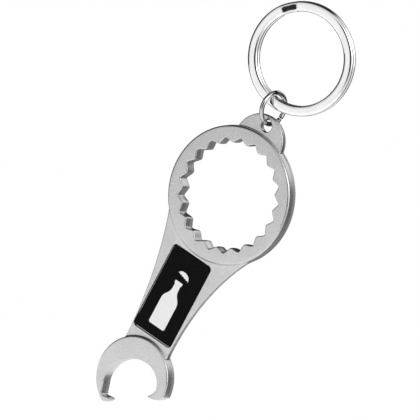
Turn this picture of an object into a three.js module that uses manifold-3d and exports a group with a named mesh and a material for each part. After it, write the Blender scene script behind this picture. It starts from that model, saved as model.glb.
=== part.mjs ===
// Keychain bottle opener shaped like a small combination wrench, hanging from its key ring.
// Millimetres. +Z is up along the chain, -Y is the front face, +X is to the right of the front.
// The opener is drawn about the centre of its toothed ring, then everything is lowered so that
// the origin is the point inside the top of the split ring where a hook or a key would carry it.

import * as THREE from "three";
import { mergeVertices } from "three/addons/utils/BufferGeometryUtils.js";
import Module from "manifold-3d";

const wasm = await Module();
wasm.setup();

// ---- Driving dimensions -------------------------------------------------------------------

// Casting levels: half thicknesses, measured from the parting plane at y = 0.
const BOSS_HALF = 1.9;
const SHANK_HALF = 0.9;
const LUG_HALF = 0.95;
const SHANK_ROUND = 0.35;
const LUG_ROUND = 0.3;

// Toothed ring that grips a crown cap: one tooth for each of the cap's 21 flutes.
const RING_R = 18.0;
const RING_ROUND = 0.6;
const TOOTH_COUNT = 21;
const TOOTH_ROOT_R = 14.7;
const TOOTH_TIP_R = 13.4;
const TOOTH_SHARPNESS = 0.97;

// Lug for the jump ring.
const LUG_R = 7.3;
const LUG_Z = 15.8;
const LUG_FOOT_Z = 10;
const HOLE_R = 1.5;
const HOLE_Z = 20.45;

// Open jaw: a crescent with a claw on the left and a rounded prong on the right.
const JAW_R = 10.85;
const JAW_CENTRE = [-0.1, -54.4];
const JAW_ROUND = 0.45;
const THROAT_CENTRE = [0.3, -56.0];
const THROAT_SEMI_AXES = [7.8, 6.4];
const THROAT_TILT = THREE.MathUtils.degToRad(35);

// Badge and its recess in the front of the shank.
const BADGE_CENTRE = [-1.25, -30.6];
const BADGE_SIZE = [12.3, 23.4];
const BADGE_CORNER_R = 0.8;
const BADGE_BORDER = 0.3;
const BADGE_PLATE = 0.4;
const BADGE_ROUND = 0.08;
const ADHESIVE = 0.15;
const RECESS_DEPTH = 0.7;
const ADHESIVE_INSET = 0.5;
const BOND_GAP = 0.05;

// Split ring: flat wire with round edges, two turns side by side, joined by a joggle.
const SPLIT_OUTER_R = 14.65;
const SPLIT_INNER_R = 12.0;
const SPLIT_LAYER = 1.3;
const SPLIT_GAP = 0.12;
const SPLIT_ROUND = 0.85;
const SPLIT_YAW = THREE.MathUtils.degToRad(6);
const JOGGLE_START = THREE.MathUtils.degToRad(143);
const JOGGLE_END = THREE.MathUtils.degToRad(125);
const END_CLEARANCE = THREE.MathUtils.degToRad(1.5);
const SPLIT_X = -0.45;

// Jump ring: one turn of round wire with a butt gap.
const WIRE_R = 0.6;
const JUMP_R = 4.15;
const JUMP_YAW = THREE.MathUtils.degToRad(-14);
const JUMP_LEAN = THREE.MathUtils.degToRad(-13);
const JUMP_GAP_AT = THREE.MathUtils.degToRad(-30);
const JUMP_GAP_ARC = THREE.MathUtils.degToRad(6);
const LUG_SLACK = 0.35;
const SPLIT_SLACK = 0.5;

// Heights that follow from one ring hanging in the next.
const JUMP_BOTTOM_WIRE_Z = HOLE_Z + HOLE_R - LUG_SLACK - WIRE_R;
const JUMP_BOTTOM_WIRE_X = -0.05;
const JUMP_TOP_WIRE_Z = JUMP_BOTTOM_WIRE_Z + 2 * JUMP_R * Math.cos(JUMP_LEAN);
const SPLIT_Z = JUMP_TOP_WIRE_Z - WIRE_R - SPLIT_SLACK + SPLIT_INNER_R;
const HANG_POINT_Z = SPLIT_Z + SPLIT_INNER_R;

const RECESS_FLOOR_Y = -SHANK_HALF + RECESS_DEPTH;

// Facets: segments along each curve of an outline, and steps along the wires.
const RING_SEGMENTS = 60;
const JAW_SEGMENTS = 44;
const LUG_SEGMENTS = 24;
const HOLE_SEGMENTS = 28;
const SHANK_SEGMENTS = 14;
const JAW_CUT_SEGMENTS = 22;
const CORNER_SEGMENTS = 4;
const ROUND_SEGMENTS = 3;
const STEPS_PER_TOOTH = 8;
const SPLIT_TURN_STEPS = 56;
const JOGGLE_STEPS = 8;
const SPLIT_EDGE_STEPS = 4;
const JUMP_STEPS = 44;
const JUMP_SIDES = 12;

// How far a cutting solid reaches past the parting plane on each side.
const CUT_HALF = 3;

// ---- Solids and joins ---------------------------------------------------------------------

function toSolid(geometry) {
  const bare = new THREE.BufferGeometry();
  bare.setAttribute("position", geometry.getAttribute("position"));
  if (geometry.index) bare.setIndex(geometry.index);
  const merged = mergeVertices(bare, 1e-4);
  return new wasm.Manifold(new wasm.Mesh({
    numProp: 3,
    vertProperties: new Float32Array(merged.attributes.position.array),
    triVerts: new Uint32Array(merged.index.array),
  }));
}

function toGeometry(solid) {
  const { vertProperties, triVerts } = solid.getMesh();
  const geometry = new THREE.BufferGeometry();
  geometry.setAttribute("position", new THREE.BufferAttribute(vertProperties, 3));
  geometry.setIndex(new THREE.BufferAttribute(triVerts, 1));
  geometry.computeVertexNormals();
  return geometry;
}

// The outline's points, with no two neighbours in the same place.
function distinctOutline(shape, curveSegments) {
  const points = shape.getPoints(curveSegments);
  const apart = (point, i) => point.distanceTo(points[(i + 1) % points.length]) > 1e-3;
  return new THREE.Shape(points.filter(apart));
}

// A plate from y = back to y = front, drawn in x and z, with both rims rounded by `round`.
function plate(shape, back, front, round, curveSegments) {
  const geometry = new THREE.ExtrudeGeometry(distinctOutline(shape, curveSegments), {
    depth: back - front - 2 * round,
    bevelEnabled: round > 0,
    bevelSize: round,
    bevelThickness: round,
    bevelOffset: -round,
    bevelSegments: ROUND_SEGMENTS,
  });
  geometry.translate(0, 0, -back + round);
  geometry.rotateX(Math.PI / 2);
  return geometry;
}

function evenPlate(shape, half, round, curveSegments) {
  return plate(shape, half, -half, round, curveSegments);
}

function circle(radius, centreX = 0, centreZ = 0) {
  const shape = new THREE.Shape();
  shape.absarc(centreX, centreZ, radius, 0, 2 * Math.PI, false);
  return shape;
}

function roundedRectangle([centreX, centreZ], [width, height], radius) {
  const shape = new THREE.Shape();
  const left = centreX - width / 2;
  const right = centreX + width / 2;
  const low = centreZ - height / 2;
  const high = centreZ + height / 2;
  shape.absarc(right - radius, high - radius, radius, 0, Math.PI / 2, false);
  shape.absarc(left + radius, high - radius, radius, Math.PI / 2, Math.PI, false);
  shape.absarc(left + radius, low + radius, radius, Math.PI, 1.5 * Math.PI, false);
  shape.absarc(right - radius, low + radius, radius, 1.5 * Math.PI, 2 * Math.PI, false);
  return shape;
}

// ---- Casting ------------------------------------------------------------------------------

// The toothed opening: a rounded triangle wave around the circle, with a root at the top.
function toothedOpening() {
  const middle = (TOOTH_ROOT_R + TOOTH_TIP_R) / 2;
  const reach = (TOOTH_ROOT_R - TOOTH_TIP_R) / 2;
  const count = TOOTH_COUNT * STEPS_PER_TOOTH;
  const points = [];
  for (let i = 0; i < count; i += 1) {
    const turn = (2 * Math.PI * i) / count;
    const wave = Math.asin(TOOTH_SHARPNESS * Math.cos(TOOTH_COUNT * turn));
    const radius = middle + (reach * wave) / Math.asin(TOOTH_SHARPNESS);
    points.push(new THREE.Vector2(-radius * Math.sin(turn), radius * Math.cos(turn)));
  }
  return new THREE.Shape(points);
}

// The shank narrows from the ring to the jaw along two different sweeping edges.
function shankOutline() {
  const shape = new THREE.Shape();
  shape.moveTo(0, -8);
  shape.lineTo(-14.9, -9.6);
  shape.bezierCurveTo(-11.4, -17.2, -7.9, -33.0, -7.85, -47.0);
  shape.lineTo(-7.5, -50.0);
  shape.lineTo(7.2, -50.0);
  shape.quadraticCurveTo(5.9, -45.6, 5.8, -43.5);
  shape.bezierCurveTo(5.6, -29.5, 9.6, -17.5, 14.9, -10.0);
  shape.closePath();
  return shape;
}

function jawOutline() {
  const shape = new THREE.Shape();
  const prong = THREE.MathUtils.degToRad(6);
  const heel = THREE.MathUtils.degToRad(236);
  shape.absarc(...JAW_CENTRE, JAW_R + JAW_ROUND, prong, heel, false);
  shape.bezierCurveTo(-5.4, -64.1, -4.5, -64.4, -3.6, -63.7);
  shape.quadraticCurveTo(-2.6, -62.5, -3.6, -62.3);
  shape.lineTo(-5.2, -62.6);
  shape.quadraticCurveTo(-5.7, -62.6, -5.8, -62.1);
  shape.absellipse(
    ...THROAT_CENTRE,
    ...THROAT_SEMI_AXES,
    THREE.MathUtils.degToRad(172),
    THREE.MathUtils.degToRad(-20),
    true,
    THROAT_TILT,
  );
  shape.quadraticCurveTo(7.2, -55.1, 6.5, -55.7);
  shape.quadraticCurveTo(5.9, -56.3, 6.8, -56.4);
  shape.quadraticCurveTo(8.3, -56.3, 9.5, -55.4);
  shape.quadraticCurveTo(10.6, -54.5, 11.1, -53.2);
  return shape;
}

function lugOutline() {
  const shape = new THREE.Shape();
  shape.absarc(0, LUG_Z, LUG_R, 0, Math.PI, false);
  shape.lineTo(-LUG_R, LUG_FOOT_Z);
  shape.lineTo(LUG_R, LUG_FOOT_Z);
  return shape;
}

function cutter(shape, curveSegments) {
  return toSolid(evenPlate(shape, CUT_HALF, 0, curveSegments));
}

// The recess is open at the front and stops short of the parting plane.
function recess() {
  const size = BADGE_SIZE.map((side) => side + 2 * BADGE_BORDER);
  const shape = roundedRectangle(BADGE_CENTRE, size, BADGE_CORNER_R + BADGE_BORDER);
  return toSolid(plate(shape, RECESS_FLOOR_Y, -CUT_HALF, 0, CORNER_SEGMENTS));
}

function openerCasting() {
  const ring = toSolid(evenPlate(circle(RING_R), BOSS_HALF, RING_ROUND, RING_SEGMENTS));
  const shank = toSolid(evenPlate(shankOutline(), SHANK_HALF, SHANK_ROUND, SHANK_SEGMENTS));
  const lug = toSolid(evenPlate(lugOutline(), LUG_HALF, LUG_ROUND, LUG_SEGMENTS));
  const jawDisc = circle(JAW_R, ...JAW_CENTRE);
  const jaw = toSolid(evenPlate(jawDisc, BOSS_HALF, JAW_ROUND, JAW_SEGMENTS))
    .intersect(cutter(jawOutline(), JAW_CUT_SEGMENTS));

  // The shank runs on under the jaw, so it is trimmed along the throat.
  const throat = new THREE.Shape();
  throat.absellipse(...THROAT_CENTRE, ...THROAT_SEMI_AXES, 0, 2 * Math.PI, false, THROAT_TILT);

  const body = shank
    .subtract(cutter(throat, LUG_SEGMENTS))
    .add(lug)
    .subtract(recess())
    .add(ring)
    .add(jaw)
    .subtract(cutter(toothedOpening(), 1))
    .subtract(cutter(circle(HOLE_R, 0, HOLE_Z), HOLE_SEGMENTS));
  return toGeometry(body);
}

// ---- Badge --------------------------------------------------------------------------------

function badgeAdhesive() {
  const back = RECESS_FLOOR_Y - BOND_GAP;
  const size = BADGE_SIZE.map((side) => side - 2 * ADHESIVE_INSET);
  const shape = roundedRectangle(BADGE_CENTRE, size, BADGE_CORNER_R);
  return plate(shape, back, back - ADHESIVE, 0, CORNER_SEGMENTS);
}

function badgePlate() {
  const back = RECESS_FLOOR_Y - ADHESIVE - 2 * BOND_GAP;
  const shape = roundedRectangle(BADGE_CENTRE, BADGE_SIZE, BADGE_CORNER_R);
  return plate(shape, back, back - BADGE_PLATE, BADGE_ROUND, CORNER_SEGMENTS);
}

// ---- Rings --------------------------------------------------------------------------------

// Sweeps a closed section along a list of stations, each with a centre and two section axes,
// and closes both ends. Section points run counterclockwise about the direction of travel.
function sweep(section, stations) {
  const positions = [];
  for (const { centre, across, up } of stations) {
    for (const [a, b] of section) {
      const point = centre.clone().addScaledVector(across, a).addScaledVector(up, b);
      positions.push(point.x, point.y, point.z);
    }
  }
  const sides = section.length;
  const last = (stations.length - 1) * sides;
  const index = [];
  for (let s = 0; s < last; s += sides) {
    for (let i = 0; i < sides; i += 1) {
      const j = (i + 1) % sides;
      index.push(s + i, s + j, s + sides + j);
      index.push(s + i, s + sides + j, s + sides + i);
    }
  }
  for (let i = 1; i < sides - 1; i += 1) {
    index.push(0, i + 1, i);
    index.push(last, last + i, last + i + 1);
  }
  const geometry = new THREE.BufferGeometry();
  geometry.setAttribute("position", new THREE.Float32BufferAttribute(positions, 3));
  geometry.setIndex(index);
  geometry.computeVertexNormals();
  return geometry;
}

// Flat wire section: straight faces joined by well rounded edges.
function flatWireSection() {
  const edge = SPLIT_LAYER / 2;
  const reach = (SPLIT_OUTER_R - SPLIT_INNER_R) / 2 - SPLIT_ROUND;
  const section = [];
  for (const side of [1, -1]) {
    for (let i = 0; i <= SPLIT_EDGE_STEPS; i += 1) {
      const turn = -Math.PI / 2 + (Math.PI * i) / SPLIT_EDGE_STEPS;
      const out = reach + SPLIT_ROUND * Math.cos(turn);
      section.push([side * out, side * edge * Math.sin(turn)]);
    }
  }
  return section;
}

// Two clockwise turns seen from the front: the first in the front layer, then the joggle,
// then the second in the back layer, ending just short of the joggle's start.
function splitRing() {
  const layerY = (SPLIT_LAYER + SPLIT_GAP) / 2;
  const meanR = (SPLIT_OUTER_R + SPLIT_INNER_R) / 2;
  const full = 2 * Math.PI;
  const begin = JOGGLE_END - END_CLEARANCE;
  const joggleFrom = JOGGLE_START - full;
  const joggleTo = JOGGLE_END - full;
  const finish = JOGGLE_START - 2 * full + END_CLEARANCE;
  const turns = [];
  const addRun = (from, to, steps) => {
    for (let i = 0; i < steps; i += 1) turns.push(from + ((to - from) * i) / steps);
  };
  addRun(begin, joggleFrom, SPLIT_TURN_STEPS);
  addRun(joggleFrom, joggleTo, JOGGLE_STEPS);
  addRun(joggleTo, finish, SPLIT_TURN_STEPS);
  turns.push(finish);
  const stations = turns.map((turn) => {
    const passed = THREE.MathUtils.smoothstep(-turn, -joggleFrom, -joggleTo);
    const across = new THREE.Vector3(Math.cos(turn), 0, Math.sin(turn));
    const centre = across.clone().multiplyScalar(meanR);
    centre.y = layerY * (2 * passed - 1);
    return { centre, across, up: new THREE.Vector3(0, -1, 0) };
  });
  return sweep(flatWireSection(), stations);
}

// One turn of round wire in the YZ plane; the angle runs from the back (+Y) upwards.
function jumpRing() {
  const section = [];
  for (let i = 0; i < JUMP_SIDES; i += 1) {
    const turn = (2 * Math.PI * i) / JUMP_SIDES;
    section.push([WIRE_R * Math.cos(turn), WIRE_R * Math.sin(turn)]);
  }
  const arc = 2 * Math.PI - JUMP_GAP_ARC;
  const stations = [];
  for (let i = 0; i <= JUMP_STEPS; i += 1) {
    const turn = JUMP_GAP_AT + JUMP_GAP_ARC / 2 + (arc * i) / JUMP_STEPS;
    const across = new THREE.Vector3(0, Math.cos(turn), Math.sin(turn));
    const centre = across.clone().multiplyScalar(JUMP_R);
    stations.push({ centre, across, up: new THREE.Vector3(-1, 0, 0) });
  }
  return sweep(section, stations);
}

// ---- Assembly -----------------------------------------------------------------------------

const satinNickel = { color: 0xb9bbbd, roughness: 0.38, metalness: 1 };
const brightNickel = { color: 0xd4d6d9, roughness: 0.12, metalness: 1 };
const blackEnamel = { color: 0x0b0b0c, roughness: 0.35, metalness: 0 };
const foamTape = { color: 0xd8d6cc, roughness: 0.9, metalness: 0 };

function part(name, geometry, finish) {
  const mesh = new THREE.Mesh(geometry, new THREE.MeshStandardMaterial(finish));
  mesh.name = name;
  return mesh;
}

const opener = new THREE.Group();
opener.add(part("opener_casting", openerCasting(), satinNickel));
opener.add(part("badge_adhesive", badgeAdhesive(), foamTape));
opener.add(part("badge_plate", badgePlate(), blackEnamel));

const jump = part("jump_ring", jumpRing(), brightNickel);
jump.rotation.set(0, JUMP_LEAN, JUMP_YAW, "ZYX");
jump.position.set(
  JUMP_BOTTOM_WIRE_X + JUMP_R * Math.sin(JUMP_LEAN),
  0,
  JUMP_BOTTOM_WIRE_Z + JUMP_R * Math.cos(JUMP_LEAN),
);

const split = part("split_ring", splitRing(), brightNickel);
split.rotation.z = SPLIT_YAW;
split.position.set(SPLIT_X, 0, SPLIT_Z);

const keychain = new THREE.Group();
const chain = new THREE.Group();
chain.position.set(-SPLIT_X, 0, -HANG_POINT_Z);
chain.add(opener, jump, split);
keychain.add(chain);

export default keychain;
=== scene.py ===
"""Looks for the keychain bottle opener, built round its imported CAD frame.

The opener is drawn in millimetres about the centre of its toothed ring, as (x, z) in the plane of
its flat faces, with y as depth and -y towards the badge. place() turns that drawing into frame
metres. The toothed ring's centre, the badge's depth and the centres of the two wire rings come from
the boxes of the CAD nodes. The dimensions below repeat the CAD's, apart from the draft, fillets,
small roundings and falls, which are only in the looks.
"""

import math

import bmesh
import bpy
import numpy as np
from mathutils import Matrix, Vector
from mathutils.geometry import delaunay_2d_cdt


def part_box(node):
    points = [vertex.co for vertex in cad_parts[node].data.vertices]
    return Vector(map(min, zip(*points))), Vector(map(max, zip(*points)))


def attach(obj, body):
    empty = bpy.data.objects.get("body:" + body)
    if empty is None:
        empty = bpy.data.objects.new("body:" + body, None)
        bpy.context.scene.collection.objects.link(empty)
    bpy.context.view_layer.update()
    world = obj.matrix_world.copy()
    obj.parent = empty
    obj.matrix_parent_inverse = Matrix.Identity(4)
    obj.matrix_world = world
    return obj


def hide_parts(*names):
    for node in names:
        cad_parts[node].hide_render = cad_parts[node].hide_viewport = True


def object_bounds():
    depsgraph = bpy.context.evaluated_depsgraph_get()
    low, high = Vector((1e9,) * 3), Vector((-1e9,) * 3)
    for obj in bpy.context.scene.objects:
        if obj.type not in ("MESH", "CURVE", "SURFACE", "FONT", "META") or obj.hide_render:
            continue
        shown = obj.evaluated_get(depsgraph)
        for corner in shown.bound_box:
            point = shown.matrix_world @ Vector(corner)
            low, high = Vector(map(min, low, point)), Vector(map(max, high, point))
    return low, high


MM = 0.001

# Guards against dividing by zero, and how many points are measured at a time.
TINY_LEG, NEVER_ZERO, BATCH = 1e-9, 1e-12, 4000

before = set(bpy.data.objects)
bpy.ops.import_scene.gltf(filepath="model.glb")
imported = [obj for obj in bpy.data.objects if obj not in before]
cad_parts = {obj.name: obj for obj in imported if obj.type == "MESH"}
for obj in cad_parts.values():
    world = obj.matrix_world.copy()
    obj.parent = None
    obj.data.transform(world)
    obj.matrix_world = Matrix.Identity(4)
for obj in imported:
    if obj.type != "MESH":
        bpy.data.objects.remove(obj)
cad_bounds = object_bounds()

# ---- Driving dimensions, mm ---------------------------------------------------------------

# Casting: half thickness and rim rounding of each part of it.
RING_R, RING_HALF, RING_ROUND = 18.0, 1.9, 0.6
LUG_R, LUG_Z, LUG_HALF, LUG_ROUND = 7.3, 15.8, 0.95, 0.3
SHANK_HALF, SHANK_ROUND = 0.9, 0.35
JAW_R, JAW_CENTRE, JAW_ROUND = 10.85, (-0.1, -54.4), 0.45
THROAT_CENTRE, THROAT_SEMI_AXES, THROAT_TILT = (0.3, -56.0), (7.8, 6.4), math.radians(35)

# Cuts through the casting, and the small rounding along their edges.
TOOTH_COUNT, TOOTH_ROOT_R, TOOTH_TIP_R, TOOTH_SHARPNESS = 21, 14.7, 13.4, 0.9
TIP_ROUNDNESS = 0.45
HOLE_R, HOLE_Z = 1.5, 20.45
CUT_ROUND = 0.3
HOLE_ROUND = 0.22

# How far the front and back faces of the ring and the jaw fall away near their rims.
DOME_DROP, DOME_REACH = 0.05, 2.6

# Draft on the outer walls, and the fillet where a raised end meets the shank or the lug.
DRAFT = 0.12
FILLET = 0.3

# Badge, its recess and its print.
BADGE_CENTRE, BADGE_SIZE, BADGE_CORNER_R = (-1.25, -30.6), (12.3, 23.4), 0.8
BADGE_BORDER, RECESS_FLOOR, RECESS_ROUND = 0.3, 0.2, 0.16
BADGE_ROUND = 0.08

# Split ring and jump ring.
SPLIT_OUTER_R, SPLIT_INNER_R, SPLIT_LAYER, SPLIT_GAP = 14.65, 12.0, 1.3, 0.12
SPLIT_YAW = math.radians(6)
SPLIT_ROUND = 0.85
JOGGLE_START, JOGGLE_END = math.radians(143), math.radians(125)
END_CLEARANCE = math.radians(1.5)
WIRE_R, JUMP_R = 0.6, 4.15
JUMP_YAW, JUMP_LEAN = math.radians(-14), math.radians(-13)
JUMP_GAP_AT, JUMP_GAP_ARC = math.radians(-30), math.radians(6)

# The ring's centre in the frame: the ring is the casting's widest part, and the lug its highest.
cast_low, cast_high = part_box("opener_casting")
RING_CENTRE = Vector((
    (cast_low.x + cast_high.x) / 2,
    0.0,
    cast_high.z - (LUG_Z + LUG_R) * MM,
))


def place(x, y, z):
    """Drawing millimetres to frame metres."""
    return RING_CENTRE + Vector((x, y, z)) * MM


# ---- Camera -------------------------------------------------------------------------------

# Directions in the frame of the picture's right, its top, and back towards the lens.
VIEW_RIGHT = Vector((0.740, 0.497, 0.453)).normalized()
VIEW_BACK = Vector((0.441, -0.867, 0.231)).normalized()
VIEW_UP = VIEW_BACK.cross(VIEW_RIGHT).normalized()
VIEW_WIDTH = 0.1072
LENS, SENSOR = 700.0, 36.0
CLIP = 0.01, 20.0
VIEW_CENTRE = place(-3.21, -0.9, -6.17)

camera_data = bpy.data.cameras.new("camera")
camera_data.lens = LENS
camera_data.sensor_width = SENSOR
camera_data.clip_start, camera_data.clip_end = CLIP
camera = bpy.data.objects.new("camera", camera_data)
bpy.context.scene.collection.objects.link(camera)
axes = Matrix((VIEW_RIGHT, VIEW_UP, VIEW_BACK)).transposed().to_4x4()
distance = LENS * VIEW_WIDTH / SENSOR
camera.matrix_world = Matrix.Translation(VIEW_CENTRE + VIEW_BACK * distance) @ axes
bpy.context.scene.camera = camera

# ---- Curves in the drawing plane ----------------------------------------------------------


def arc(centre, radius, start, end, steps):
    """Points on a circle, or on an ellipse if radius is a pair, from angle start to end."""
    rx, rz = radius if isinstance(radius, tuple) else (radius, radius)
    turn = np.linspace(start, end, steps + 1)
    return np.column_stack((centre[0] + rx * np.cos(turn), centre[1] + rz * np.sin(turn)))


def circle(centre, radius, steps):
    return arc(centre, radius, 0, 2 * math.pi, steps)[:-1]


def turned(points, angle):
    turn = np.array(((math.cos(angle), -math.sin(angle)), (math.sin(angle), math.cos(angle))))
    return points @ turn.T


def tilted_arc(centre, semi_axes, start, end, tilt, steps):
    return turned(arc((0, 0), semi_axes, start, end, steps), tilt) + centre


def bezier(points, steps):
    """A Bezier curve of any order through its control points, without its first point."""
    level = np.repeat(np.array(points, float)[:, None, :], steps, axis=1)
    t = np.linspace(0, 1, steps + 1)[1:, None]
    while len(level) > 1:
        level = level[:-1] * (1 - t) + level[1:] * t
    return level[0]


def rounded_rectangle(centre, size, radius, steps=10):
    corners = []
    for quarter, (side_x, side_z) in enumerate(((1, 1), (-1, 1), (-1, -1), (1, -1))):
        corner = (
            centre[0] + side_x * (size[0] / 2 - radius),
            centre[1] + side_z * (size[1] / 2 - radius),
        )
        start = quarter * math.pi / 2
        corners.append(arc(corner, radius, start, start + math.pi / 2, steps))
    return np.concatenate(corners)


# Sharp corners of an offset line are cut off at 1 / MITRE_LIMIT of the distance.
MITRE_LIMIT = 0.5


def offset(line, distance, closed):
    """The line moved sideways by distance, to the left of its direction of travel."""
    if closed:
        ahead, behind = np.roll(line, -1, axis=0), np.roll(line, 1, axis=0)
    else:
        ahead = np.concatenate((line[1:], line[-1:]))
        behind = np.concatenate((line[:1], line[:-1]))
    first = line - behind
    second = ahead - line
    for leg, other in ((first, second), (second, first)):
        still = np.hypot(*leg.T) < TINY_LEG
        leg[still] = other[still]
    first = first / np.hypot(*first.T)[:, None]
    second = second / np.hypot(*second.T)[:, None]
    middle = first + second
    middle = middle / np.hypot(*middle.T)[:, None]
    stretch = 1 / np.maximum((middle * first).sum(1), MITRE_LIMIT)
    return line + np.column_stack((-middle[:, 1], middle[:, 0])) * (distance * stretch)[:, None]


def distance_to(points, line, closed):
    """Distance from each point to the line."""
    start = line if closed else line[:-1]
    leg = (np.roll(line, -1, axis=0) if closed else line[1:]) - start
    length = np.maximum((leg ** 2).sum(1), NEVER_ZERO)
    nearest = np.empty(len(points))
    for low in range(0, len(points), BATCH):
        to_point = points[low:low + BATCH, None, :] - start[None]
        share = np.clip((to_point * leg).sum(2) / length, 0, 1)
        gap = to_point - share[..., None] * leg
        nearest[low:low + BATCH] = np.sqrt((gap ** 2).sum(2).min(1))
    return nearest


def is_inside(points, polygon):
    """Whether each point lies in the closed polygon."""
    x0, z0 = polygon.T
    x1, z1 = np.roll(polygon, -1, axis=0).T
    inside = np.empty(len(points), bool)
    for low in range(0, len(points), BATCH):
        x, z = points[low:low + BATCH].T
        spans = (z0 > z[:, None]) != (z1 > z[:, None])
        rise = np.where(z1 == z0, NEVER_ZERO, z1 - z0)
        crossing = x[:, None] < x0 + (z[:, None] - z0) * (x1 - x0) / rise
        inside[low:low + BATCH] = (spans & crossing).sum(1) % 2 == 1
    return inside


# ---- Casting outlines ---------------------------------------------------------------------


def toothed_opening(steps_per_tooth=28):
    """A triangle wave round the circle, rounder at the tips, with a root at the top."""
    turn = np.linspace(0, 2 * math.pi, TOOTH_COUNT * steps_per_tooth, endpoint=False)
    wave = np.arcsin(TOOTH_SHARPNESS * np.cos(TOOTH_COUNT * turn)) / math.asin(TOOTH_SHARPNESS)
    scallop = 1 - 2 * np.abs(np.sin(TOOTH_COUNT * turn / 2))
    wave = wave + TIP_ROUNDNESS * (scallop - wave)
    radius = (TOOTH_ROOT_R + TOOTH_TIP_R) / 2 + (TOOTH_ROOT_R - TOOTH_TIP_R) / 2 * wave
    return np.column_stack((-radius * np.sin(turn), radius * np.cos(turn)))


SHANK_LEFT = np.concatenate((
    [(-14.9, -9.6)],
    bezier(((-14.9, -9.6), (-11.4, -17.2), (-7.9, -33.0), (-7.85, -47.0)), 60),
    [(-7.5, -50.0)],
))
SHANK_RIGHT = np.concatenate((
    [(7.2, -50.0)],
    bezier(((7.2, -50.0), (5.9, -45.6), (5.8, -43.5)), 12),
    bezier(((5.8, -43.5), (5.6, -29.5), (9.6, -17.5), (14.9, -10.0)), 60),
))
SHANK = np.concatenate((SHANK_LEFT, SHANK_RIGHT, [(0.0, -8.0)]))

# The mouth of the jaw, from its outer circle at the claw's heel, round the claw and the throat,
# to the prong on the right.
HEEL, PRONG = math.radians(236), math.radians(6)
MOUTH_START = arc(JAW_CENTRE, JAW_R + JAW_ROUND, HEEL, HEEL, 0)
MOUTH = np.concatenate((
    MOUTH_START,
    bezier((tuple(MOUTH_START[0]), (-5.4, -64.1), (-4.5, -64.4), (-3.6, -63.7)), 20),
    bezier(((-3.6, -63.7), (-2.6, -62.5), (-3.6, -62.3)), 14),
    [(-5.2, -62.6)],
    bezier(((-5.2, -62.6), (-5.7, -62.6), (-5.8, -62.1)), 6),
    tilted_arc(
        THROAT_CENTRE, THROAT_SEMI_AXES, math.radians(172), math.radians(-20), THROAT_TILT, 110
    ),
))
MOUTH = np.concatenate((
    MOUTH,
    bezier((tuple(MOUTH[-1]), (7.2, -55.1), (6.5, -55.7)), 10),
    bezier(((6.5, -55.7), (5.9, -56.3), (6.8, -56.4)), 10),
    bezier(((6.8, -56.4), (8.3, -56.3), (9.5, -55.4)), 10),
    bezier(((9.5, -55.4), (10.6, -54.5), (11.1, -53.2)), 8),
))
# Closed round the outside of the jaw, well clear of it.
MOUTH_REACH = 14.0
MOUTH_CUT = np.concatenate((
    MOUTH, arc(JAW_CENTRE, MOUTH_REACH, PRONG, HEEL - 2 * math.pi, 40)
))
TEETH = toothed_opening()
HOLE = circle((0, HOLE_Z), HOLE_R, 72)
RECESS = rounded_rectangle(
    BADGE_CENTRE, [side + 2 * BADGE_BORDER for side in BADGE_SIZE], BADGE_CORNER_R + BADGE_BORDER
)

# ---- Casting ------------------------------------------------------------------------------

CUT_DRAFT = 0.11
RECESS_WALL = 0.02
RIM_STEPS, CUT_STEPS, FILLET_STEPS = 6, 3, 4
RING_STEPS, JAW_STEPS, LUG_STEPS = 400, 280, 110
NEAR_WALL_TOP = 0.9
DOME_SHARES = (0.4, 0.55, 0.7, 0.85, 1.0)

# Points of the mesh closer than this are one, and the face is never thinner than this.
MERGE_WITHIN, THINNEST = 1e-4, 0.01

# Width of the strip beside each rounding that keeps the flat face beyond it flat.
HOLD = 0.06
OUTSIDE, ANY = -10.0, 10.0


def rounding(radius, steps):
    """How far in from a rim each step of its quarter round lies."""
    return [radius * (1 - math.cos(math.pi / 2 * k / steps)) for k in range(1, steps + 1)]


def rim(depth, half, radius, draft, beyond):
    """Half thickness at a given depth in from an edge: a drafted wall, then a quarter round."""
    wall = (half - radius) * depth / draft
    inward = np.clip(radius - (depth - draft), 0, radius)
    crown = half - radius + np.sqrt(radius ** 2 - inward ** 2)
    return np.select(
        (depth <= 0, depth < draft, depth < draft + radius), (OUTSIDE, wall, crown), beyond
    )


def dome(depth):
    return DOME_DROP * np.clip(1 - depth / DOME_REACH, 0, 1) ** 2


def disc_depth(points, centre, radius):
    return radius - np.hypot(*(points - centre).T)


def lug_depth(points):
    x, z = points.T
    rounded = LUG_R - np.hypot(x, np.maximum(z - LUG_Z, 0))
    return np.where(z > LUG_R, rounded, OUTSIDE)


def shank_depth(points):
    gap = np.minimum(
        distance_to(points, SHANK_LEFT, False), distance_to(points, SHANK_RIGHT, False)
    )
    return np.where(is_inside(points, SHANK), gap, -gap)


def cut_depth(points, line, area, closed):
    """Depth into the metal from the edge of a cut, negative inside the cut."""
    gap = distance_to(points, line, closed)
    return np.where(is_inside(points, area), -gap, gap)


def is_metal(points):
    solid = (
        (disc_depth(points, (0, 0), RING_R) > 0)
        | (disc_depth(points, JAW_CENTRE, JAW_R) > 0)
        | (lug_depth(points) > 0)
        | is_inside(points, SHANK)
    )
    for area in (TEETH, HOLE, MOUTH_CUT):
        solid &= ~is_inside(points, area)
    return solid


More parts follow.
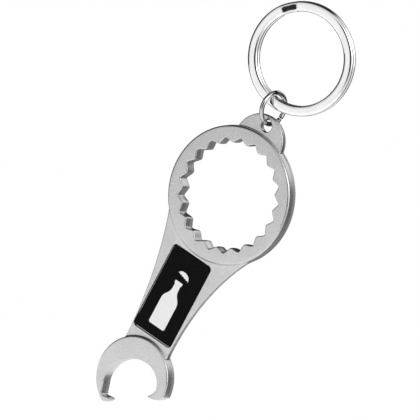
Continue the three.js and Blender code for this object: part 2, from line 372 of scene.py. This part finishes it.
def half_thickness(points):
    """The casting's half thickness at each point, without the recess for the badge."""
    ring = disc_depth(points, (0, 0), RING_R)
    jaw = disc_depth(points, JAW_CENTRE, JAW_R)
    low = np.maximum(
        rim(lug_depth(points), LUG_HALF, LUG_ROUND, DRAFT, LUG_HALF),
        rim(shank_depth(points), SHANK_HALF, SHANK_ROUND, DRAFT, SHANK_HALF),
    )
    reach = np.clip(np.maximum(ring, jaw) + FILLET, 0, FILLET)
    low = low + FILLET - np.sqrt(FILLET ** 2 - reach ** 2)
    metal = np.maximum.reduce((
        low,
        rim(ring, RING_HALF, RING_ROUND, DRAFT, RING_HALF) - dome(ring),
        rim(jaw, RING_HALF, JAW_ROUND, DRAFT, RING_HALF) - dome(jaw),
    ))
    teeth = cut_depth(points, TEETH, TEETH, True)
    hole = cut_depth(points, HOLE, HOLE, True)
    mouth = cut_depth(points, MOUTH, MOUTH_CUT, False)
    return np.minimum.reduce((
        metal,
        rim(teeth, RING_HALF, CUT_ROUND, CUT_DRAFT, ANY),
        rim(hole, LUG_HALF, HOLE_ROUND, CUT_DRAFT, ANY),
        rim(mouth, RING_HALF, CUT_ROUND, CUT_DRAFT, ANY),
    ))


def recess_level(points):
    """The front face's level over and round the badge's recess."""
    depth = cut_depth(points, RECESS, RECESS, True)
    brink = SHANK_HALF - RECESS_ROUND
    inward = np.clip(RECESS_ROUND - depth, 0, RECESS_ROUND)
    edge = brink + np.sqrt(RECESS_ROUND ** 2 - inward ** 2)
    wall = RECESS_FLOOR + (brink - RECESS_FLOOR) * (1 + depth / RECESS_WALL)
    return np.select(
        (depth < -RECESS_WALL, depth < 0, depth < RECESS_ROUND), (RECESS_FLOOR, wall, edge), ANY
    )


def casting_curves():
    """Every line in the drawing plane along which the casting's surface bends."""
    fillet = [
        FILLET * (math.sin(math.pi / 2 * k / FILLET_STEPS) - 1) for k in range(FILLET_STEPS + 1)
    ]
    curves = []

    def add(line, depths, closed, side=1):
        curves.extend((offset(line, side * depth, closed), closed) for depth in depths)

    def rim_depths(radius):
        round_off = [DRAFT + step for step in rounding(radius, RIM_STEPS)]
        return [0, NEAR_WALL_TOP * DRAFT, DRAFT, *round_off, round_off[-1] + HOLD]

    def cut_depths(radius):
        round_off = [CUT_DRAFT + step for step in rounding(radius, CUT_STEPS)]
        return [0, NEAR_WALL_TOP * CUT_DRAFT, CUT_DRAFT, *round_off, round_off[-1] + HOLD]

    fall = [DOME_REACH * share for share in DOME_SHARES]
    for depth in fillet[:-1] + rim_depths(RING_ROUND) + fall:
        curves.append((circle((0, 0), RING_R - depth, RING_STEPS), True))
    for depth in fillet[:-1] + rim_depths(JAW_ROUND) + fall:
        curves.append((circle(JAW_CENTRE, JAW_R - depth, JAW_STEPS), True))
    for depth in rim_depths(LUG_ROUND):
        top = arc((0, LUG_Z), LUG_R - depth, 0, math.pi, LUG_STEPS)
        foot = LUG_R - depth, LUG_R + 1
        curves.append((np.concatenate(([foot], top, [(-foot[0], foot[1])])), False))
    for line in (SHANK_LEFT, SHANK_RIGHT):
        add(line, rim_depths(SHANK_ROUND), False)
    add(TEETH, cut_depths(CUT_ROUND), True, -1)
    add(HOLE, cut_depths(HOLE_ROUND), True, -1)
    add(MOUTH, cut_depths(CUT_ROUND), False)
    recess_depths = [-RECESS_WALL, 0, *rounding(RECESS_ROUND, CUT_STEPS), RECESS_ROUND + HOLD]
    add(RECESS, recess_depths, True, -1)
    return curves


def outline_of(triangles):
    """The sides that only one triangle has."""
    sides = np.concatenate((triangles[:, :2], triangles[:, 1:], triangles[:, ::2]))
    sides, uses = np.unique(np.sort(sides), axis=0, return_counts=True)
    return sides[uses == 1]


def casting_mesh():
    """The front and back faces as height fields over one triangulation, joined at the parting
    line, which runs round the outline and round every hole."""
    points, edges = [], []
    for line, closed in casting_curves():
        first, count = len(points), len(line)
        points.extend(Vector(p) for p in line)
        edges.extend((first + i, first + (i + 1) % count) for i in range(count - (not closed)))
    flat, _, triangles, *_ = delaunay_2d_cdt(points, edges, [], 0, MERGE_WITHIN, False)
    flat = np.array([tuple(p) for p in flat])
    triangles = np.array(triangles)
    triangles = triangles[is_metal(flat[triangles].mean(1))]
    outline = outline_of(triangles)
    flap = np.isin(triangles, outline).all(1)
    while flap.any():
        triangles = triangles[~flap]
        outline = outline_of(triangles)
        flap = np.isin(triangles, outline).all(1)

    half = half_thickness(flat)
    front = np.minimum(half, recess_level(flat))
    on_outline = set(outline.ravel())

    mesh = bmesh.new()
    front_of, back_of = {}, {}
    for i in np.unique(triangles):
        x, z = flat[i]
        if i in on_outline:
            front_of[i] = back_of[i] = mesh.verts.new(place(x, 0, z))
        else:
            front_of[i] = mesh.verts.new(place(x, -max(front[i], THINNEST), z))
            back_of[i] = mesh.verts.new(place(x, max(half[i], THINNEST), z))
    for a, b, c in triangles:
        mesh.faces.new((front_of[a], front_of[b], front_of[c]))
        mesh.faces.new((back_of[c], back_of[b], back_of[a]))
    for a, b in outline:
        mesh.edges.get((front_of[a], front_of[b])).smooth = False
    return mesh


# ---- Building pieces ----------------------------------------------------------------------


def finished(name, mesh, body, slot, material, *nodes):
    """Turns a bmesh into a smooth piece that rides on a body and stands for CAD nodes."""
    bmesh.ops.recalc_face_normals(mesh, faces=mesh.faces)
    for face in mesh.faces:
        face.smooth = True
    data = bpy.data.meshes.new(name)
    mesh.to_mesh(data)
    mesh.free()
    data.materials.append(material)
    piece = bpy.data.objects.new(name, data)
    bpy.context.scene.collection.objects.link(piece)
    weighted = piece.modifiers.new("weighted_normals", "WEIGHTED_NORMAL")
    weighted.keep_sharp = True
    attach(piece, body)
    if nodes:
        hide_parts(*nodes)


def loft(rings):
    """Joins rings of points in order, and closes both ends."""
    mesh = bmesh.new()
    loops = [[mesh.verts.new(point) for point in ring] for ring in rings]
    for near, far in zip(loops, loops[1:]):
        for i in range(len(near)):
            j = (i + 1) % len(near)
            mesh.faces.new((near[i], near[j], far[j], far[i]))
    mesh.faces.new(loops[0][::-1])
    mesh.faces.new(loops[-1])
    return mesh


def wire(section, turns, station, chamfer):
    """A wire of one section swept through turns, with a small chamfer at each end.
    station(turn) gives the centre and the section's two directions, in mm."""
    rings = []
    for i, turn in enumerate(turns):
        centre, across, up = station(turn)
        shrink = 1 - chamfer if i in (0, len(turns) - 1) else 1
        rings.append([
            centre + across * (a * shrink) + up * (b * shrink) for a, b in section
        ])
    return rings


def into_frame(rings, turn, origin):
    return [[origin + turn @ (point * MM) for point in ring] for ring in rings]


# ---- Materials ----------------------------------------------------------------------------


class Nodes:
    """A material and short ways to add nodes to it."""

    def __init__(self, name, **uniform):
        self.material = bpy.data.materials.new(name)
        self.material.use_nodes = True
        self.tree = self.material.node_tree
        self.shader = self.tree.nodes["Principled BSDF"]
        for socket, value in uniform.items():
            self.shader.inputs[socket.replace("_", " ")].default_value = value

    def add(self, kind, **values):
        node = self.tree.nodes.new(kind)
        for key, value in values.items():
            if key in node.inputs:
                node.inputs[key].default_value = value
            else:
                setattr(node, key, value)
        return node

    def link(self, start, end):
        self.tree.links.new(start, end)

    def noise(self, scale, stretch=(1, 1, 1), detail=4.0, roughness=0.6):
        """Noise with `scale` grains per metre, stretched along the frame's axes."""
        coordinates = self.add("ShaderNodeTexCoord")
        mapping = self.add("ShaderNodeMapping")
        mapping.inputs["Scale"].default_value = stretch
        noise = self.add("ShaderNodeTexNoise", Scale=scale, Detail=detail, Roughness=roughness)
        self.link(coordinates.outputs["Object"], mapping.inputs["Vector"])
        self.link(mapping.outputs["Vector"], noise.inputs["Vector"])
        return noise.outputs["Fac"]

    def ramp(self, factor, low, high, start=0.3, end=0.7):
        """Maps a factor to a grey or colour between low and high."""
        ramp = self.add("ShaderNodeValToRGB")
        ramp.color_ramp.elements[0].position = start
        ramp.color_ramp.elements[1].position = end
        for element, value in zip(ramp.color_ramp.elements, (low, high)):
            colour = value if isinstance(value, tuple) else (value,) * 3
            element.color = (*colour, 1)
        self.link(factor, ramp.inputs["Fac"])
        return ramp.outputs["Color"]

    def bump(self, *heights):
        """Chains bumps, each a (factor, depth in metres, strength)."""
        normal = None
        for factor, depth, strength in heights:
            bump = self.add("ShaderNodeBump", Distance=depth, Strength=strength)
            self.link(factor, bump.inputs["Height"])
            if normal:
                self.link(normal, bump.inputs["Normal"])
            normal = bump.outputs["Normal"]
        self.link(normal, self.shader.inputs["Normal"])


def satin_nickel():
    """Satin plate over a blasted casting: fine grain, faint streaks through the thickness."""
    m = Nodes("satin_nickel", Metallic=1.0)
    grain = m.noise(3000, (1, 0.25, 1), detail=3.0)
    cloud = m.noise(140, detail=3.0)
    tone = m.add("ShaderNodeMix", data_type="RGBA", blend_type="MULTIPLY")
    tone.inputs["Factor"].default_value = 1.0
    m.link(m.ramp(cloud, 0.56, 0.61), tone.inputs["A"])
    m.link(m.ramp(grain, 0.84, 1.0), tone.inputs["B"])
    m.link(tone.outputs["Result"], m.shader.inputs["Base Color"])
    m.link(m.ramp(grain, 0.25, 0.36), m.shader.inputs["Roughness"])
    m.bump((grain, 0.00002, 0.4), (cloud, 0.0002, 0.12))
    return m.material


def bright_nickel(name, low_tone, high_tone):
    """Polished plate on wire, with faint draw lines and handling marks. The base colour's overall
    level is set per copy, and it is painted light or shade rather than a difference in the metal.
    """
    m = Nodes(name, Metallic=1.0)
    marks = m.noise(2600, detail=6.0)
    haze = m.noise(300)
    # Random haze between two levels. The height of both levels is painted light or shade.
    m.link(m.ramp(haze, low_tone, high_tone), m.shader.inputs["Base Color"])
    m.link(m.ramp(marks, 0.03, 0.08), m.shader.inputs["Roughness"])
    m.bump((marks, 0.00001, 0.2), (haze, 0.00005, 0.1))
    return m.material


def black_enamel():
    m = Nodes("black_enamel", Specular_IOR_Level=0.05)
    speckle = m.noise(2600)
    m.link(m.ramp(speckle, 0.001, 0.006), m.shader.inputs["Base Color"])
    m.link(m.ramp(speckle, 0.45, 0.6), m.shader.inputs["Roughness"])
    m.bump((speckle, 0.00001, 0.2))
    return m.material


def white_print():
    m = Nodes("white_print")
    ink = m.noise(2500)
    m.link(m.ramp(ink, (0.82,) * 3, (0.9,) * 3), m.shader.inputs["Base Color"])
    m.link(m.ramp(ink, 0.45, 0.6), m.shader.inputs["Roughness"])
    m.bump((ink, 0.00001, 0.15))
    return m.material


def foam_tape():
    m = Nodes("foam_tape")
    cells = m.noise(3000)
    m.link(m.ramp(cells, (0.62, 0.61, 0.56), (0.78, 0.77, 0.72)), m.shader.inputs["Base Color"])
    m.link(m.ramp(cells, 0.8, 0.95), m.shader.inputs["Roughness"])
    m.bump((cells, 0.00003, 0.4))
    return m.material


SATIN, BLACK, WHITE, TAPE = satin_nickel(), black_enamel(), white_print(), foam_tape()
# The two rings share one nickel plating. The split ring's copy is painted lighter, as painted
# light, and the jump ring's copy is painted darker, as painted shade, for how bright or dark each
# shows.
SPLIT_PLATE_PAINTED_LIGHT = bright_nickel("split_ring_nickel_painted_light", 0.76, 0.82)
JUMP_PLATE_PAINTED_SHADE = bright_nickel("jump_ring_nickel_painted_shade", 0.44, 0.52)

# ---- Pieces -------------------------------------------------------------------------------

finished("casting", casting_mesh(), "opener", "satin_nickel", SATIN, "opener_casting")

plate_low, plate_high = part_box("badge_plate")


def badge():
    """A flat plate with a rounded front edge."""
    steps = 4
    front, back = plate_low.y / MM, plate_high.y / MM
    levels = [(BADGE_ROUND, back), (0, back - BADGE_ROUND)]
    for k in range(steps + 1):
        turn = math.pi / 2 * k / steps
        levels.append((
            BADGE_ROUND * (1 - math.cos(turn)),
            front + BADGE_ROUND * (1 - math.sin(turn)),
        ))
    rings = []
    for inset, y in levels:
        size = [side - 2 * inset for side in BADGE_SIZE]
        outline = rounded_rectangle(BADGE_CENTRE, size, BADGE_CORNER_R - inset)
        rings.append([place(x, y, z) for x, z in outline])
    return loft(rings)


finished("badge", badge(), "opener", "black_enamel", BLACK, "badge_plate")

# The print on the badge: a bottle that lies along it, its crown cap lifting off.
PRINT_THICKNESS = 0.02
PRINT_CENTRE = (-1.25, -30.9)
PRINT_LENGTH = 17.6
PRINT_LIFT = 0.001

# The cap is drawn upright, then tipped about its middle and moved over the bottle's lip.
CAP_MIDDLE, CAP_TIP, CAP_PLACE = (0, 14.9), math.radians(-14), (0.5, 15.3)


def bottle_outline():
    """Half widths along a bottle that stands on its base, in mm, mirrored to both sides."""
    base = [(2.25, 0.0), (2.6, 0.35)]
    shoulder = bezier(((2.6, 7.0), (2.6, 9.0), (0.95, 9.0), (0.95, 11.2)), 16)
    lip = [(0.95, 12.4), (1.2, 12.4), (1.2, 13.2)]
    right = np.concatenate((base, [(2.6, 7.0)], shoulder, lip))
    return np.concatenate((right, right[::-1] * (-1, 1)))


def cap_outline():
    """A crown cap seen from the side, tipped a little."""
    flutes = np.linspace(-1.9, 1.9, 11)
    skirt = [(x, 14.3 + (0.28 if i % 2 else 0)) for i, x in enumerate(flutes)]
    top = bezier(((1.9, 14.3), (1.55, 15.9), (0.0, 15.75), (-1.55, 15.9), (-1.9, 14.3)), 14)
    outline = np.concatenate((skirt, top[:-1]))
    return turned(outline - CAP_MIDDLE, CAP_TIP) + CAP_PLACE


def printed(outline):
    """A flat film of ink on the badge."""
    low_z = PRINT_CENTRE[1] - PRINT_LENGTH / 2
    front = plate_low.y / MM
    rings = [
        [place(PRINT_CENTRE[0] + x, y, low_z + z) for x, z in outline]
        for y in (front - PRINT_LIFT, front - PRINT_THICKNESS)
    ]
    return loft(rings)


finished("print_bottle", printed(bottle_outline()), "opener", "black_enamel", WHITE)
finished("print_cap", printed(cap_outline()), "opener", "black_enamel", WHITE)


# Steps along each wire, the short step at its ends, and the share of its section chamfered there.
SPLIT_STEPS, JOGGLE_STEPS, SPLIT_END, SPLIT_CHAMFER = 220, 26, math.radians(0.4), 0.06
JUMP_STEPS, WIRE_SIDES, JUMP_END, JUMP_CHAMFER = 150, 32, math.radians(1), 0.1


def split_section(steps=14):
    """Flat wire with well rounded edges: width across the ring, thickness along its axis."""
    reach = (SPLIT_OUTER_R - SPLIT_INNER_R) / 2 - SPLIT_ROUND
    axes, quarter = (SPLIT_ROUND, SPLIT_LAYER / 2), math.pi / 2
    return np.concatenate((
        arc((reach, 0), axes, -quarter, quarter, steps),
        arc((-reach, 0), axes, quarter, 3 * quarter, steps),
    ))


def split_turns():
    """Two clockwise turns seen from the front, with finer steps through the joggle."""
    full = 2 * math.pi
    begin, finish = JOGGLE_END - END_CLEARANCE, JOGGLE_START - 2 * full + END_CLEARANCE
    joggle = JOGGLE_START - full, JOGGLE_END - full
    return np.concatenate((
        [begin],
        np.linspace(begin - SPLIT_END, joggle[0], SPLIT_STEPS),
        np.linspace(*joggle, JOGGLE_STEPS)[1:-1],
        np.linspace(joggle[1], finish + SPLIT_END, SPLIT_STEPS),
        [finish],
    ))


def split_station(turn):
    layer = (SPLIT_LAYER + SPLIT_GAP) / 2
    start, end = 2 * math.pi - JOGGLE_START, 2 * math.pi - JOGGLE_END
    share = min(max((-turn - start) / (end - start), 0), 1)
    passed = share * share * (3 - 2 * share)
    across = Vector((math.cos(turn), 0, math.sin(turn)))
    centre = across * ((SPLIT_OUTER_R + SPLIT_INNER_R) / 2)
    centre.y = layer * (2 * passed - 1)
    return centre, across, Vector((0, -1, 0))


def box_centre(node):
    low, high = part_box(node)
    return Vector(((low.x + high.x) / 2, 0, (low.z + high.z) / 2))


split_rings = into_frame(
    wire(split_section(), split_turns(), split_station, SPLIT_CHAMFER),
    Matrix.Rotation(SPLIT_YAW, 3, "Z"),
    box_centre("split_ring"),
)
finished(
    "split_ring_wire", loft(split_rings), "split_ring", "bright_nickel", SPLIT_PLATE_PAINTED_LIGHT, "split_ring"
)


def jump_station(turn):
    across = Vector((0, math.cos(turn), math.sin(turn)))
    return across * JUMP_R, across, Vector((-1, 0, 0))


def jump_turns():
    start = JUMP_GAP_AT + JUMP_GAP_ARC / 2
    finish = start + 2 * math.pi - JUMP_GAP_ARC
    between = np.linspace(start + JUMP_END, finish - JUMP_END, JUMP_STEPS)
    return np.concatenate(([start], between, [finish]))


jump_rings = into_frame(
    wire(circle((0, 0), WIRE_R, WIRE_SIDES), jump_turns(), jump_station, JUMP_CHAMFER),
    Matrix.Rotation(JUMP_YAW, 3, "Z") @ Matrix.Rotation(JUMP_LEAN, 3, "Y"),
    box_centre("jump_ring"),
)
finished(
    "jump_ring_wire", loft(jump_rings), "jump_ring", "bright_nickel", JUMP_PLATE_PAINTED_SHADE, "jump_ring"
)

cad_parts["badge_adhesive"].data.materials.clear()
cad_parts["badge_adhesive"].data.materials.append(TAPE)

# ---- Studio -------------------------------------------------------------------------------

world = bpy.data.worlds.new("studio")
bpy.context.scene.world = world
world.use_nodes = True
tree = world.node_tree
tree.nodes.clear()


def world_node(kind, **values):
    node = tree.nodes.new(kind)
    for key, value in values.items():
        setattr(node, key, value)
    return node


direction = world_node("ShaderNodeTexCoord").outputs["Generated"]

# The camera sees a plain white world. What lights the object and shows in its plating is a front
# level with soft cards round it, each laid over those before it: its direction, half width in
# degrees, edge softness in degrees, and brightness.
FRONT_LEVEL = 0.88
CARDS = (
    ((0.0, 1.0, 0.0), 78, 10, 0.02),
    ((0.40, 0.75, -0.50), 30, 8, 0.32),
    ((0.35, 0.90, 0.25), 28, 8, 0.22),
    ((0.15, 0.97, 0.05), 14, 6, 0.50),
    ((0.10, 0.78, 0.60), 18, 6, 1.3),
    ((-0.88, 0.0, -0.42), 42, 6, 0.02),
    ((-0.70, -0.05, 0.70), 40, 8, 0.04),
    ((0.28, -0.93, 0.18), 22, 5, 0.03),
    ((0.78, -0.20, 0.60), 22, 5, 2.0),
    ((0.45, -0.60, 0.66), 14, 5, 2.4),
    ((-0.27, -0.94, -0.23), 8, 3, 1.1),
)

brightness = None
for heading, width, softness, value in CARDS:
    along = world_node("ShaderNodeVectorMath", operation="DOT_PRODUCT")
    along.inputs[1].default_value = Vector(heading).normalized()
    tree.links.new(direction, along.inputs[0])
    edge = world_node("ShaderNodeMapRange", interpolation_type="SMOOTHSTEP")
    edge.inputs["From Min"].default_value = math.cos(math.radians(width + softness))
    edge.inputs["From Max"].default_value = math.cos(math.radians(width - softness))
    tree.links.new(along.outputs["Value"], edge.inputs["Value"])
    blend = world_node("ShaderNodeMix", data_type="FLOAT")
    tree.links.new(edge.outputs["Result"], blend.inputs[0])
    if brightness:
        tree.links.new(brightness, blend.inputs[2])
    else:
        blend.inputs[2].default_value = FRONT_LEVEL
    blend.inputs[3].default_value = value
    brightness = blend.outputs[0]

lit = world_node("ShaderNodeBackground")
tree.links.new(brightness, lit.inputs["Strength"])
white = world_node("ShaderNodeBackground")
white.inputs["Strength"].default_value = 1.0
for background in (lit, white):
    background.inputs["Color"].default_value = (1, 1, 1, 1)
seen = world_node("ShaderNodeLightPath")
either = world_node("ShaderNodeMixShader")
tree.links.new(seen.outputs["Is Camera Ray"], either.inputs["Fac"])
tree.links.new(lit.outputs[0], either.inputs[1])
tree.links.new(white.outputs[0], either.inputs[2])
tree.links.new(either.outputs[0], world_node("ShaderNodeOutputWorld").inputs["Surface"])


def softbox(towards, reach, size, spread, power, aim):
    """A square light with a grid, `reach` metres from aim in a direction, facing it."""
    data = bpy.data.lights.new("softbox", "AREA")
    data.size = size
    data.spread = math.radians(spread)
    data.energy = power
    lamp = bpy.data.objects.new("softbox", data)
    bpy.context.scene.collection.objects.link(lamp)
    back = Vector(towards).normalized()
    lamp.location = aim + back * reach
    lamp.visible_camera = False
    lamp.rotation_mode = "QUATERNION"
    lamp.rotation_quaternion = back.to_track_quat("Z", "Y")


softbox(
    towards=(0.50, -0.45, 0.71), reach=0.40, size=0.16, spread=120, power=0.05,
    aim=place(0, 0, -15),
)

bpy.context.scene.view_settings.view_transform = "Standard"

# Floor: a pale disc that glows a little. Its edge is lost against the white world.
FLOOR_DROP, FLOOR_CENTRE, FLOOR_R, FLOOR_SIDES = 0.004, (0.05, -0.15), 0.20, 96
FLOOR_GLOW = 0.6
floor_mesh = bmesh.new()
floor_z = cad_bounds[0].z - FLOOR_DROP
floor_mesh.faces.new([
    floor_mesh.verts.new((x, y, floor_z)) for x, y in circle(FLOOR_CENTRE, FLOOR_R, FLOOR_SIDES)
])
floor_data = bpy.data.meshes.new("floor")
floor_mesh.to_mesh(floor_data)
floor_mesh.free()
paper = Nodes("floor", Roughness=0.5)
paper.link(
    paper.ramp(paper.noise(40), (0.93,) * 3, (0.96,) * 3), paper.shader.inputs["Base Color"]
)
paper.shader.inputs["Emission Color"].default_value = (1, 1, 1, 1)
paper.shader.inputs["Emission Strength"].default_value = FLOOR_GLOW
floor_data.materials.append(paper.material)
floor = bpy.data.objects.new("floor", floor_data)
bpy.context.scene.collection.objects.link(floor)
